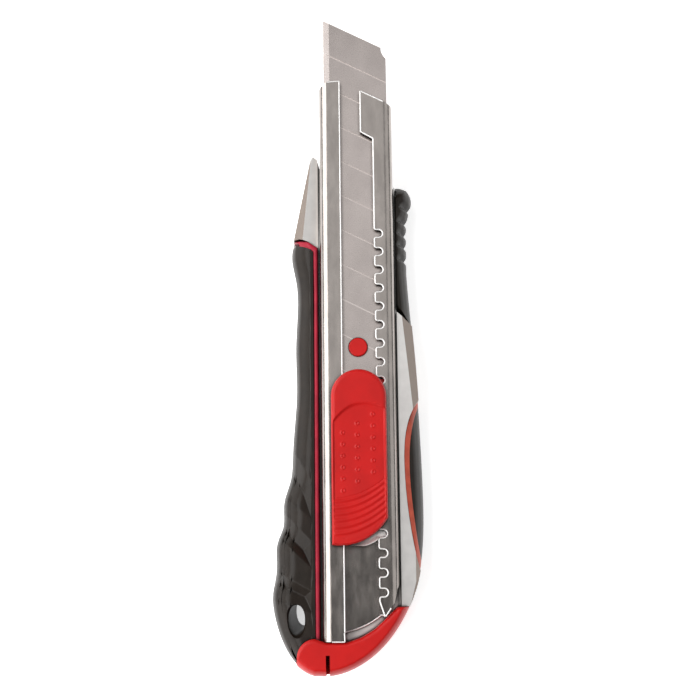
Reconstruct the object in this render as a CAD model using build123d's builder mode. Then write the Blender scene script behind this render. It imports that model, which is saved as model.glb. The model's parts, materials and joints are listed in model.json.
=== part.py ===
"""Snap-off utility knife with an automatic lock: an 18 mm blade in a steel channel, a two-part cast
handle with soft grips, a pull-off end cap, and spare blades stored behind the channel.

Millimetres. The knife lies on its flat back: +Z rises through the channel's lips and the slider, +Y
runs towards the blade's point, +X towards the thumb grip. The origin is on the back face and on the
channel's centre line, level with the middle of the tail hole of the stored blade's seat.
"""

import math
import os

from build123d import *

os.makedirs("parts", exist_ok=True)

# ---------------------------------------------------------------- blade: standard 18 mm snap-off
blade_width = 18.0
blade_length = 105.0
blade_thickness = 0.5
segment_pitch = 10.0
segment_count = 8
score_angle = 27.0  # from square across the blade
score_width = 0.3
score_depth = 0.12
edge_bevel = 1.7  # width of the ground strip along the cutting edge
edge_land = 0.06  # thickness left at the cutting edge
tail_setback = 8.9  # from the tail to the tail hole's centre
pin_y = 0.5  # the tail hole's centre as stored, two segments out
tail_hole_radius = 2.75
tail_corner = 2.0
point_round = 1.4  # the last segment's back corner, rounded this far along the slanted end
back_round = 2.6  # and this far down the back

# ---------------------------------------------------------------- guide channel: bent steel sheet
blade_side_play = 0.5
channel_height = 6.0
channel_sheet = 0.8
channel_bend = 2.4  # outside radius of the four bends
channel_base = 10.0  # height of the channel's underside
channel_front = 77.5
channel_rear = -79.0
left_lip_width = 5.8
right_lip_width = 5.3  # to the tips of the teeth
tooth_depth = 2.3
tooth_pitch = 5.2
notch_height = 2.35
teeth_rear = -71.0  # no notch reaches behind this
first_notch_y = 33.7  # front side of the first notch
tooth_corner = 0.5
pad_width = 8.8  # the wide front stretch of the toothed lip
pad_rear_y = 62.4
pad_slant = 2.0  # fall of the pad's rear edge towards the teeth
front_slope = 0.5  # slant of the front end, per millimetre across
left_corner_cut = 2.8  # the front end's corner beside the left wall

# ---------------------------------------------------------------- slider group
running_gap = 0.3  # between the sliding pieces and the channel
slider_width = 15.0
slider_centre_x = -0.1
slider_front = -6.4
slider_rear = -53.6
slider_height = 4.0
slider_crown = 1.0
slider_rear_rise = 7.1  # the rear edge climbs this far from its left corner to its right
neck_front = -14.0
neck_rear = -42.0
neck_rise = 1.8  # from the carrier's underside to the neck's
slot_rise = 1.4  # from the carrier's underside to the floor of the neck's slot
slider_play = 1.0  # how far the slider moves on its carrier each way
carrier_front = 7.0
carrier_corner = 3.0  # its front corners, slanted this far along Y
carrier_rear_gap = 4.0  # the carrier ends this far inside the slider's rear edge
pin_play = 0.2  # radial, in the blade's tail hole
pin_stand = 0.6  # the pin's rim stands this far out of the blade
leaf_sheet = 0.5
leaf_side_gap = 1.5  # from the left lip to the leaf
leaf_nose = 1.9  # reach of the nose into a notch
leaf_tail = 4.0  # the leaf runs on this far behind its nose
nose_behind_slider = 2.9  # the nose takes the notch nearest to this far from the slider's rear corner

# ---------------------------------------------------------------- handle
handle_height = 13.0
split_height = 6.0  # joint between the back and front castings
wall_gap = 0.6  # open line along each side of the channel
trim_width = 1.5
seat_play = 0.05  # each side of the channel in its seat
seat_lip = 0.8  # height of the close-fitting seat
grip_front = 29.0
nose_drop = 0.9  # the nose's ridge lies this far below the front face
nose_slopes = (42.0, 14.0)  # of its left and right facets
flank_slope = 44.0
thumb_grip_rear = 8.5
cap_rise = 2.4  # the cap stands this far above the handle
cap_gap = 0.15
slit_width = 1.1
slit_depth = 5.6
slit_inset = 1.2  # from the channel's left wall
lanyard_width = 4.6
lanyard_length = 8.0
lanyard_outset = 7.5
lanyard_y = -73.8

# ---------------------------------------------------------------- magazine
pocket_side_play = 1.2
pocket_floor = 2.4
pocket_roof = 8.4
pocket_front_wall = 7.8
tray_wall = 0.7
tray_play = 0.1
spare_count = 3
spare_tail = -69.4
spring_sheet = 0.3
spring_width = 8.0
spring_half_span = 32.0

# ---------------------------------------------------------------- fasteners
screw_outsets = [(-2.4, 42.0), (2.0, -2.0), (1.9, -62.0)]  # beyond the channel's walls, and along Y
screw_radius = 0.9
screw_head_radius = 1.6
screw_length = 9.0
rivet_front_inset = 2.0  # from the handle's front end to the first rivet
rivet_rows = [-4.0, -50.0]  # the other two
rivet_radius = 1.25
rivet_head_radius = 2.2

# ---------------------------------------------------------------- worked out from the above
channel_width = blade_width + 2 * (blade_side_play + channel_sheet)
channel_top = channel_base + channel_height
channel_floor = channel_base + channel_sheet
lip_underside = channel_top - channel_sheet
channel_half = channel_width / 2
inner_half = channel_half - channel_sheet
left_lip_edge = left_lip_width - channel_half
tooth_tip_x = channel_half - right_lip_width
notch_count = int((first_notch_y - teeth_rear) / tooth_pitch)
pad_edge_x = channel_half - pad_width
right_wall_x = channel_half + wall_gap
trim_edge_x = -right_wall_x
grip_edge_x = trim_edge_x - trim_width
slit_x = slit_inset - channel_half
cap_height = handle_height + cap_rise
pocket_width = blade_width + 2 * pocket_side_play
pocket_front = spare_tail + blade_length + 0.6
handle_front = pocket_front + pocket_front_wall
rivet_places = [(0.0, y) for y in (handle_front - rivet_front_inset, *rivet_rows)]
screw_places = [(x + math.copysign(channel_half, x), y) for x, y in screw_outsets]
blade_half = blade_width / 2
blade_tail = pin_y - tail_setback
blade_top = lip_underside - 0.8
blade_under = blade_top - blade_thickness
score_slope = math.tan(math.radians(score_angle))  # fall of a score line per millimetre across
carrier_top = lip_underside - running_gap
carrier_half = inner_half - running_gap - 0.05
carrier_under = channel_floor + running_gap
clear_x = 30.0  # sideways, beyond every outline
cap_far = -100.0  # rearwards, beyond every outline
facet_reach = 6.0  # to each side of a facet's upper edge, beyond the casting
far = 200.0


def channel_end_y(x):
    """Front end of the channel, cut on a slant that falls from the left lip to the right wall."""
    return channel_front - front_slope * (x - left_lip_edge)


def outside(points, side):
    """Points given as distances beyond the channel's wall, left (-1) or right (1), made absolute."""
    return [(side * (channel_half + x), y) for x, y in points]


def notch_centre_y(index):
    """Centre of one notch in the toothed lip, counted from the front."""
    return first_notch_y - notch_height / 2 - index * tooth_pitch


right_lip_rear = notch_centre_y(notch_count - 1) - notch_height  # the toothed lip tapers behind this


def facet_room(upper_edge, height, angle, side):
    """Block over a plane that falls from an edge at one height towards one side, -1 left or 1 right."""
    (ax, ay), (bx, by) = upper_edge
    along = Vector(bx - ax, by - ay, 0).normalized()
    outwards = Vector(abs(along.Y), -along.X * math.copysign(1, along.Y), 0) * side
    tilt = math.radians(angle)
    upwards = outwards * math.sin(tilt) + Vector(0, 0, math.cos(tilt))
    length = math.hypot(bx - ax, by - ay)
    with BuildPart() as block:
        with BuildSketch(Plane(origin=(ax, ay, height), x_dir=along, z_dir=upwards)):
            with Locations((length / 2, 0)):
                Rectangle(length, 2 * facet_reach)
        extrude(amount=2 * facet_reach)
    return block.part


# ================================================================ reference shapes, not exported
left_side = outside(
    [
        (7.7, 31.6), (8.2, 28.6), (7.1, 21.5), (7.15, 2.0), (6.95, -11.0), (8.1, -27.0), (9.0, -36.0),
        (10.65, -42.0), (10.9, -48.0), (12.6, -53.2), (12.7, -59.5), (13.75, -66.0), (13.0, -73.5),
        (10.5, -80.5), (7.3, -85.2), (2.3, -88.2),
    ],
    -1,
)
right_side = outside(
    [
        (-19.3, -88.3), (-13.8, -87.0), (-6.1, -82.3), (1.4, -72.8), (5.4, -62.9), (7.1, -51.0),
        (7.2, -38.0), (6.6, -20.0), (5.5, 0.0), (4.3, 15.0), (3.8, 23.0),
    ],
    1,
)
thumb_front = outside([(3.9, 32.0), (4.5, 39.5), (5.5, 44.6), (4.4, 47.1), (1.3, 48.2)], 1)
nose = outside([(0.7, 55.4), (1.9, 56.4), (2.7, 55.3)], -1)
handle_rear = right_side[0][1]
nose_ridge = outside([(5.4, 28.0), (2.2, 58.4)], -1)
flank_creases = [outside([(1.7, 13.0), (4.6, -16.0)], 1), outside([(5.2, -61.0), (2.2, -73.0)], 1)]

with BuildSketch() as handle_plan:
    with BuildLine():
        Spline(*left_side)
        Line(left_side[-1], right_side[0])
        Spline(*right_side)
        Spline(right_side[-1], *thumb_front)
        Polyline(thumb_front[-1], (8.0, handle_front), (-8.0, handle_front), *nose, left_side[0])
    make_face()


def side_facets(top_z):
    """Solid that slopes off the long sides and the two ends of anything whose front face lies at top_z."""
    with BuildPart() as facets:
        with BuildSketch(Plane.XZ):
            with BuildLine():
                Polyline(
                    *outside([(4.2, 0.0), (8.7, 1.2), (14.7, 4.4)], -1),
                    *outside([(14.7, top_z - 5.6), (8.7, top_z - 2.2)], -1),
                    (grip_edge_x - 0.3, top_z),
                    *outside([(4.6, top_z), (7.7, top_z - 3.2), (7.7, 3.4), (4.1, 0.0)], 1),
                    close=True,
                )
            make_face()
        extrude(amount=far / 2, both=True)
        with BuildSketch(Plane.YZ):
            with BuildLine():
                Polyline(
                    (-83.5, 0.0), (-89.5, 3.6), (-89.5, top_z - 2.6), (-86.6, top_z), (34.0, top_z),
                    (60.0, top_z - 1.2), (60.0, 3.0), (34.0, 0.0),
                    close=True,
                )
            make_face()
        extrude(amount=far / 2, both=True, mode=Mode.INTERSECT)
    return facets.part


with BuildPart() as envelope:
    with BuildSketch(Plane.XY):
        add(handle_plan.sketch)
    extrude(amount=handle_height)
    add(side_facets(handle_height), mode=Mode.INTERSECT)

cap_edge = (
    outside([(7.0, -83.0), (2.2, -78.3), (-0.7, -79.3)], -1)
    + [(left_lip_edge + 0.6, -79.3), (3.6, -75.9)]
    + outside([(-0.6, -70.2)], 1)
)

with BuildSketch() as cap_plan:
    with BuildLine():
        ThreePointArc(cap_edge[0], (cap_edge[0][0] + 1.3, -79.8), cap_edge[1])
        Line(cap_edge[1], cap_edge[2])
        Line(cap_edge[2], cap_edge[3])
        ThreePointArc(*cap_edge[3:])
        Polyline(
            cap_edge[-1], (clear_x, -69.6), (clear_x, cap_far), (cap_edge[0][0] - 0.3, cap_far),
            (cap_edge[0][0] - 0.3, -85.4), cap_edge[0],
        )
    make_face()

with BuildPart() as cap_room:
    with BuildSketch(Plane.XY.offset(-1.0)):
        add(cap_plan.sketch)
        offset(amount=cap_gap, kind=Kind.ARC)
    extrude(amount=far)

with BuildPart() as pocket:
    with Locations((0, (pocket_front + cap_far) / 2, (pocket_floor + pocket_roof) / 2)):
        Box(pocket_width, pocket_front - cap_far, pocket_roof - pocket_floor)

with BuildPart() as channel_room:
    with Locations((0, 0, channel_base + seat_lip / 2)):
        Box(channel_width + 2 * seat_play, far, seat_lip)
    with Locations((0, 0, channel_base + seat_lip)):
        Box(
            right_wall_x - trim_edge_x, far, channel_height,
            align=(Align.CENTER, Align.CENTER, Align.MIN),
        )

band_rear = outside([(3.3, grip_front + 0.4), (5.9, grip_front + 1.6), (19.7, grip_front + 1.9)], -1)
band_front = outside([(3.3, grip_front + 2.4), (5.9, grip_front + 3.3), (19.7, grip_front + 3.5)], -1)

with BuildPart() as grip_room:
    with BuildSketch(Plane.XY.offset(-1.0)):
        with BuildLine():
            Polyline(
                (grip_edge_x, cap_far), (grip_edge_x, grip_front - 0.8), *band_rear, (-clear_x, cap_far),
                close=True,
            )
        make_face()
    extrude(amount=far)

with BuildPart() as trim_room:
    with BuildSketch(Plane.XY.offset(split_height)):
        with BuildLine():
            Polyline(
                (trim_edge_x, cap_far), (trim_edge_x, grip_front + 0.6), *band_front, *reversed(band_rear),
                (grip_edge_x, grip_front - 0.8), (grip_edge_x, cap_far),
                close=True,
            )
        make_face()
    extrude(amount=far)

with BuildPart() as thumb_room:
    with BuildSketch(Plane.XY.offset(-1.0)):
        with BuildLine():
            Polyline(
                (right_wall_x, channel_front), (right_wall_x, thumb_grip_rear + 2.2),
                (clear_x, thumb_grip_rear - 13.8), (clear_x, channel_front),
                close=True,
            )
        make_face()
    extrude(amount=far)

inlay_edge = outside(
    [(7.0, -14.2), (4.75, -20.0), (3.4, -31.0), (3.9, -41.4), (4.85, -49.5), (6.3, -57.6), (7.3, -61.0)], 1
)
inlay_trim_edge = outside(
    [(7.3, -12.9), (4.1, -17.8), (2.0, -33.2), (3.7, -50.9), (5.8, -60.2), (7.7, -65.0)], 1
)

with BuildPart() as inlay_room:
    with BuildSketch(Plane.XY.offset(-1.0)):
        with BuildLine():
            Spline(*inlay_edge)
            Polyline(
                inlay_edge[-1], (clear_x, inlay_edge[-1][1]), (clear_x, inlay_edge[0][1]), inlay_edge[0]
            )
        make_face()
    extrude(amount=far)

with BuildPart() as inlay_trim_room:
    with BuildSketch(Plane.XY.offset(-1.0)):
        with BuildLine():
            Spline(*inlay_trim_edge)
            Polyline(
                inlay_trim_edge[-1], (clear_x, inlay_trim_edge[-1][1]), (clear_x, inlay_trim_edge[0][1]),
                inlay_trim_edge[0],
            )
        make_face()
    extrude(amount=far)

# ================================================================ handle
with BuildPart() as handle_body:
    add(envelope.part)
    with Locations((0, 0, split_height)):
        Box(far, far, far, align=(Align.CENTER, Align.CENTER, Align.MIN), mode=Mode.INTERSECT)
    for room in (cap_room, pocket, channel_room, grip_room, trim_room, thumb_room, inlay_trim_room):
        add(room.part, mode=Mode.SUBTRACT)
    add(facet_room(nose_ridge, handle_height - nose_drop, nose_slopes[0], -1), mode=Mode.SUBTRACT)
    add(facet_room(nose_ridge, handle_height - nose_drop, nose_slopes[1], 1), mode=Mode.SUBTRACT)
    for crease in flank_creases:
        add(facet_room(crease, handle_height, flank_slope, 1), mode=Mode.SUBTRACT)
    for place in screw_places:
        with Locations((place[0], place[1], split_height)):
            Cylinder(
                screw_radius, screw_length - split_height,
                align=(Align.CENTER, Align.CENTER, Align.MIN), mode=Mode.SUBTRACT,
            )
    for place in rivet_places:
        with Locations((place[0], place[1], pocket_roof)):
            Cylinder(
                rivet_radius, channel_base - pocket_roof,
                align=(Align.CENTER, Align.CENTER, Align.MIN), mode=Mode.SUBTRACT,
            )

with BuildPart() as back_shell:
    add(envelope.part)
    Box(far, far, split_height, align=(Align.CENTER, Align.CENTER, Align.MIN), mode=Mode.INTERSECT)
    for room in (cap_room, pocket, grip_room, thumb_room, inlay_trim_room):
        add(room.part, mode=Mode.SUBTRACT)
    for place in screw_places:
        with Locations((place[0], place[1], 0)):
            Cylinder(
                screw_radius, split_height,
                align=(Align.CENTER, Align.CENTER, Align.MIN), mode=Mode.SUBTRACT,
            )
            Cone(
                screw_head_radius, screw_radius, screw_head_radius - screw_radius,
                align=(Align.CENTER, Align.CENTER, Align.MIN), mode=Mode.SUBTRACT,
            )

lanyard_plane = Plane(
    origin=(-channel_half - lanyard_outset, lanyard_y, handle_height),
    x_dir=(0, 1, 0),
    z_dir=(-0.16, -0.2, 0.97),
)

with BuildPart() as finger_grip:
    add(envelope.part)
    add(grip_room.part, mode=Mode.INTERSECT)
    add(cap_room.part, mode=Mode.SUBTRACT)
    with BuildSketch(lanyard_plane):
        SlotOverall(lanyard_length, lanyard_width)
    extrude(amount=20.0, both=True, mode=Mode.SUBTRACT)

with BuildPart() as finger_grip_trim:
    add(envelope.part)
    add(trim_room.part, mode=Mode.INTERSECT)
    add(cap_room.part, mode=Mode.SUBTRACT)
    add(channel_room.part, mode=Mode.SUBTRACT)

with BuildPart() as thumb_grip:
    add(envelope.part)
    add(thumb_room.part, mode=Mode.INTERSECT)

with BuildPart() as palm_inlay:
    add(envelope.part)
    add(inlay_room.part, mode=Mode.INTERSECT)

with BuildPart() as palm_inlay_trim:
    add(envelope.part)
    add(inlay_trim_room.part, mode=Mode.INTERSECT)
    add(inlay_room.part, mode=Mode.SUBTRACT)

# ---------------------------------------------------------------- end cap
tongue_front = spare_tail - 1.6
tongue_width = pocket_width - 2 * (tray_play + tray_wall) - 2 * running_gap
tongue_floor = pocket_floor + tray_play + tray_wall + running_gap
tongue_roof = pocket_roof - running_gap

with BuildPart() as cap_reach:
    with BuildSketch(Plane.XY.offset(-1.0)):
        add(cap_plan.sketch)
    extrude(amount=far)
    with Locations((0, tongue_front, (tongue_floor + tongue_roof) / 2)):
        Box(
            tongue_width, tongue_front - cap_far, tongue_roof - tongue_floor,
            align=(Align.CENTER, Align.MAX, Align.CENTER),
        )

with BuildPart() as end_cap:
    with BuildSketch(Plane.XY):
        add(handle_plan.sketch)
    extrude(amount=cap_height)
    add(side_facets(cap_height), mode=Mode.INTERSECT)
    add(cap_reach.part, mode=Mode.INTERSECT)
    with Locations((slit_x, handle_rear + slit_depth, 0)):
        Box(
            slit_width, slit_depth * 2, far,
            align=(Align.CENTER, Align.MAX, Align.CENTER), mode=Mode.SUBTRACT,
        )

# ================================================================ channel
floor_end = [(left_lip_edge - 0.1, -76.7), (0.5, -75.2), (tooth_tip_x + 0.5, -72.2)]
right_end = outside([(1.0, -61.5), (-0.6, -65.5), (-1.4, -69.0), (-3.9, -72.5)], 1)

with BuildPart() as guide_channel:
    with BuildSketch(Plane.XZ.offset(-channel_front - 1.0)):
        with Locations((0, channel_base + channel_height / 2)):
            RectangleRounded(channel_width, channel_height, channel_bend)
            RectangleRounded(
                channel_width - 2 * channel_sheet, channel_height - 2 * channel_sheet,
                channel_bend - channel_sheet, mode=Mode.SUBTRACT,
            )
    extrude(amount=channel_front + 1.0 - channel_rear)
    with BuildSketch(Plane.XY.offset(channel_base - 1.0)):
        with BuildLine():
            Polyline(
                (left_lip_edge, channel_rear), (-channel_half - 1.0, channel_rear),
                (-channel_half - 1.0, channel_front - left_corner_cut),
                (-channel_half + 0.7 * left_corner_cut, channel_front - 0.3),
                (left_lip_edge, channel_front), (channel_half + 1.0, channel_end_y(channel_half + 1.0)),
                *right_end, floor_end[2],
            )
            ThreePointArc(floor_end[2], floor_end[1], floor_end[0])
            Line(floor_end[0], (left_lip_edge, channel_rear))
        make_face()
    extrude(amount=channel_height + 2.0, mode=Mode.INTERSECT)
    with BuildSketch(Plane.XY.offset(lip_underside - 1.0)):
        with BuildLine():
            Polyline(
                (left_lip_edge, channel_rear - 1.0), (left_lip_edge, channel_front + 1.0),
                (pad_edge_x, channel_front + 1.0), (pad_edge_x, pad_rear_y),
                (tooth_tip_x, pad_rear_y - pad_slant),
                (tooth_tip_x, right_lip_rear), (tooth_tip_x + 1.6, right_lip_rear - 4.7),
                (tooth_tip_x + 1.6, channel_rear - 1.0),
                close=True,
            )
        make_face()
    extrude(amount=3.0, mode=Mode.SUBTRACT)
    with BuildSketch(Plane.XY.offset(lip_underside - 1.0)):
        for index in range(notch_count):
            with Locations((tooth_tip_x, notch_centre_y(index))):
                Rectangle(2 * (tooth_depth - notch_height / 2), notch_height)
            with Locations((tooth_tip_x + tooth_depth - notch_height / 2, notch_centre_y(index))):
                Circle(notch_height / 2)
    extrude(amount=3.0, mode=Mode.SUBTRACT)
    upright = guide_channel.edges().filter_by(Axis.Z)
    at_tips = upright.filter_by(lambda e: abs(e.center().X - tooth_tip_x) < 0.01)
    fillet(at_tips.filter_by(lambda e: e.center().Y < first_notch_y + 0.1), radius=tooth_corner)
    for place in rivet_places:
        with Locations((place[0], place[1], channel_base)):
            Cone(
                rivet_radius, rivet_head_radius, channel_sheet,
                align=(Align.CENTER, Align.CENTER, Align.MIN), mode=Mode.SUBTRACT,
            )

with BuildPart() as channel_rivets:
    for place in rivet_places:
        with Locations((place[0], place[1], pocket_roof)):
            Cylinder(
                rivet_radius, channel_base - pocket_roof,
                align=(Align.CENTER, Align.CENTER, Align.MIN),
            )
        with Locations((place[0], place[1], channel_base)):
            Cone(
                rivet_radius, rivet_head_radius, channel_sheet,
                align=(Align.CENTER, Align.CENTER, Align.MIN),
            )


# ================================================================ blades
def blade_solid(tail_y, under_z):
    """One snap-off blade with its tail at tail_y and its underside at under_z."""
    top_z = under_z + blade_thickness
    mid_z = under_z + blade_thickness / 2
    tip_y = tail_y + blade_length
    with BuildPart() as one_blade:
        with BuildSketch(Plane.XZ.offset(-tip_y)):
            with BuildLine():
                Polyline(
                    (-blade_half, mid_z - edge_land / 2), (-blade_half, mid_z + edge_land / 2),
                    (-blade_half + edge_bevel, top_z), (blade_half, top_z), (blade_half, under_z),
                    (-blade_half + edge_bevel, under_z),
                    close=True,
                )
            make_face()
        extrude(amount=blade_length)
        back_y = tip_y - score_slope * blade_width
        with BuildSketch(Plane.XY.offset(under_z - 1.0)):
            with BuildLine():
                Polyline(
                    (blade_half, back_y - back_round), (blade_half, tail_y + tail_corner),
                    (blade_half - tail_corner, tail_y), (-blade_half + tail_corner, tail_y),
                    (-blade_half, tail_y + tail_corner), (-blade_half, tip_y),
                    (blade_half - point_round, back_y + point_round * score_slope),
                )
                ThreePointArc(
                    (blade_half - point_round, back_y + point_round * score_slope),
                    (blade_half - 0.7 * point_round, back_y - 0.5 * back_round),
                    (blade_half, back_y - back_round),
                )
            make_face()
        extrude(amount=blade_thickness + 2.0, mode=Mode.INTERSECT)
        with Locations((0, tail_y + tail_setback, under_z + blade_thickness / 2)):
            Cylinder(tail_hole_radius, blade_thickness + 1.0, mode=Mode.SUBTRACT)
        with BuildSketch(Plane.XY.offset(top_z)):
            for index in range(1, segment_count):
                with Locations((0, tip_y - index * segment_pitch - score_slope * blade_half)):
                    Rectangle(blade_width * 1.3, score_width, rotation=-score_angle)
        extrude(amount=-score_depth, mode=Mode.SUBTRACT)
    return one_blade.part


with BuildPart() as blade:
    add(blade_solid(blade_tail, blade_under))

# ================================================================ slider group
slot_front = neck_front + slider_play + running_gap
slot_rear = neck_rear - slider_play - running_gap
neck_left = left_lip_edge + running_gap
neck_right = tooth_tip_x - running_gap
under_chamfer = min(channel_bend - channel_sheet - 0.1, 0.45 * (carrier_top - carrier_under))
carrier_rear = slider_rear + carrier_rear_gap

with BuildPart() as blade_carrier:
    with BuildSketch(Plane.XZ.offset(-carrier_front)):
        with BuildLine():
            Polyline(
                (-carrier_half, carrier_under + under_chamfer),
                (-carrier_half + under_chamfer, carrier_under),
                (carrier_half - under_chamfer, carrier_under),
                (carrier_half, carrier_under + under_chamfer),
                (carrier_half, carrier_top - under_chamfer), (carrier_half - under_chamfer, carrier_top),
                (-carrier_half + under_chamfer, carrier_top), (-carrier_half, carrier_top - under_chamfer),
                close=True,
            )
        make_face()
    extrude(amount=carrier_front - carrier_rear)
    with BuildSketch(Plane.XY.offset(channel_base)):
        with BuildLine():
            Polyline(
                (-carrier_half + 0.5 * carrier_corner, carrier_front),
                (carrier_half - 0.5 * carrier_corner, carrier_front),
                (carrier_half, carrier_front - carrier_corner),
                (carrier_half, carrier_rear + slider_rear_rise - carrier_corner),
                (0.2 * carrier_half, carrier_rear), (-carrier_half, carrier_rear),
                (-carrier_half, carrier_front - carrier_corner),
                close=True,
            )
        make_face()
    extrude(amount=channel_height, mode=Mode.INTERSECT)
    with Locations((0, blade_tail + far / 2 - pin_play, blade_under + far / 2)):
        Box(far, far, far, mode=Mode.SUBTRACT)
    with Locations((0, pin_y, blade_under)):
        Cylinder(
            tail_hole_radius - pin_play, blade_thickness + pin_stand,
            align=(Align.CENTER, Align.CENTER, Align.MIN),
        )
    fillet(blade_carrier.faces().sort_by(Axis.Z)[-1].edges(), radius=0.25)
    with Locations(((neck_left + neck_right) / 2, (slot_front + slot_rear) / 2, carrier_under + slot_rise)):
        Box(
            neck_right - neck_left + running_gap, slot_front - slot_rear, far,
            align=(Align.CENTER, Align.CENTER, Align.MIN), mode=Mode.SUBTRACT,
        )

leaf_left = left_lip_edge + leaf_side_gap
leaf_right = tooth_tip_x - 2 * running_gap
leaf_front = slot_rear - 0.4
nose_notch = round((first_notch_y - notch_height / 2 - slider_rear - nose_behind_slider) / tooth_pitch)
nose_y = notch_centre_y(nose_notch)
leaf_rear = nose_y - leaf_tail

with BuildPart() as lock_spring:
    with BuildSketch(Plane.XY.offset(carrier_top)):
        with BuildLine():
            Polyline(
                (leaf_left, leaf_front), (leaf_left, leaf_rear), (leaf_left + 3.6, leaf_rear),
                (leaf_right, nose_y - notch_height / 2), (leaf_right, leaf_front),
                close=True,
            )
        make_face()
        with Locations(((leaf_right + tooth_tip_x + leaf_nose) / 2 - 0.4, nose_y)):
            SlotOverall(tooth_tip_x + leaf_nose - leaf_right + 0.8, notch_height - 2 * running_gap)
    extrude(amount=leaf_sheet)

slider_base = channel_top + running_gap
slider_half = slider_width / 2

with BuildPart() as thumb_slider:
    with BuildSketch(Plane.XY.offset(slider_base)):
        with BuildLine():
            ThreePointArc(
                (slider_centre_x - slider_half, slider_front - slider_half),
                (slider_centre_x, slider_front),
                (slider_centre_x + slider_half, slider_front - slider_half),
            )
            Line(
                (slider_centre_x + slider_half, slider_front - slider_half),
                (slider_centre_x + slider_half, slider_rear + slider_rear_rise),
            )
            ThreePointArc(
                (slider_centre_x + slider_half, slider_rear + slider_rear_rise),
                (slider_centre_x + 0.2 * slider_half, slider_rear + 0.2 * slider_rear_rise),
                (slider_centre_x - slider_half, slider_rear),
            )
            Line(
                (slider_centre_x - slider_half, slider_rear),
                (slider_centre_x - slider_half, slider_front - slider_half),
            )
        make_face()
    extrude(amount=slider_height)
    fillet(thumb_slider.faces().sort_by(Axis.Z)[-1].edges(), radius=slider_crown)
    with Locations(((neck_left + neck_right) / 2, (neck_front + neck_rear) / 2, carrier_under + neck_rise)):
        Box(
            neck_right - neck_left, neck_front - neck_rear, slider_base - carrier_under - neck_rise,
            align=(Align.CENTER, Align.CENTER, Align.MIN),
        )

# ================================================================ magazine and screws
tray_length = pocket_front - tray_play - cap_far
tray_floor = pocket_floor + tray_play + tray_wall

with BuildPart() as blade_tray:
    with Locations((0, pocket_front - tray_play - tray_length / 2, pocket_floor + tray_play)):
        Box(
            pocket_width - 2 * tray_play, tray_length, pocket_roof - pocket_floor - 2 * tray_play,
            align=(Align.CENTER, Align.CENTER, Align.MIN),
        )
    with Locations((0, pocket_front - tray_play - tray_wall - tray_length / 2, tray_floor)):
        Box(
            pocket_width - 2 * (tray_play + tray_wall), tray_length, far,
            align=(Align.CENTER, Align.CENTER, Align.MIN), mode=Mode.SUBTRACT,
        )
    add(cap_room.part, mode=Mode.SUBTRACT)

spare_blades = []
for index in range(spare_count):
    spare_under = pocket_roof - tray_play - (index + 1) * (blade_thickness + 0.02)
    spare_blades.append(blade_solid(spare_tail, spare_under))

spring_under = tray_floor
spring_top = spare_under
spring_middle = (pocket_front + spare_tail) / 2

with BuildPart() as magazine_spring:
    with BuildSketch(Plane.YZ.offset(-spring_width / 2)):
        with BuildLine():
            ThreePointArc(
                (spring_middle - spring_half_span, spring_under),
                (spring_middle, spring_top - spring_sheet),
                (spring_middle + spring_half_span, spring_under),
            )
            ThreePointArc(
                (spring_middle - spring_half_span, spring_under + spring_sheet),
                (spring_middle, spring_top),
                (spring_middle + spring_half_span, spring_under + spring_sheet),
            )
            Line(
                (spring_middle - spring_half_span, spring_under),
                (spring_middle - spring_half_span, spring_under + spring_sheet),
            )
            Line(
                (spring_middle + spring_half_span, spring_under),
                (spring_middle + spring_half_span, spring_under + spring_sheet),
            )
        make_face()
    extrude(amount=spring_width)

with BuildPart() as back_screws:
    for place in screw_places:
        with Locations((place[0], place[1], 0)):
            Cylinder(screw_radius, screw_length, align=(Align.CENTER, Align.CENTER, Align.MIN))
            Cone(
                screw_head_radius, screw_radius, screw_head_radius - screw_radius,
                align=(Align.CENTER, Align.CENTER, Align.MIN),
            )

# ================================================================ export
pieces = {
    "handle_body": handle_body.part,
    "back_shell": back_shell.part,
    "finger_grip": finger_grip.part,
    "finger_grip_trim": finger_grip_trim.part,
    "thumb_grip": thumb_grip.part,
    "palm_inlay": palm_inlay.part,
    "palm_inlay_trim": palm_inlay_trim.part,
    "end_cap": end_cap.part,
    "guide_channel": guide_channel.part,
    "channel_rivets": channel_rivets.part,
    "blade": blade.part,
    "blade_carrier": blade_carrier.part,
    "lock_spring": lock_spring.part,
    "thumb_slider": thumb_slider.part,
    "blade_tray": blade_tray.part,
    "magazine_spring": magazine_spring.part,
    "back_screws": back_screws.part,
}
for index, spare in enumerate(spare_blades):
    pieces[f"spare_blade_{index + 1}"] = spare

for name, piece in pieces.items():
    piece.label = name
    export_step(piece, f"parts/{name}.step")
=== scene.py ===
"""Looks of a snap-off utility knife: steel channel and blade, cast handle, soft grips, red slider and cap."""
import json
import math

import bpy
import numpy as np
from bpy.props import FloatProperty, FloatVectorProperty, PointerProperty
from mathutils import Matrix, Vector


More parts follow.
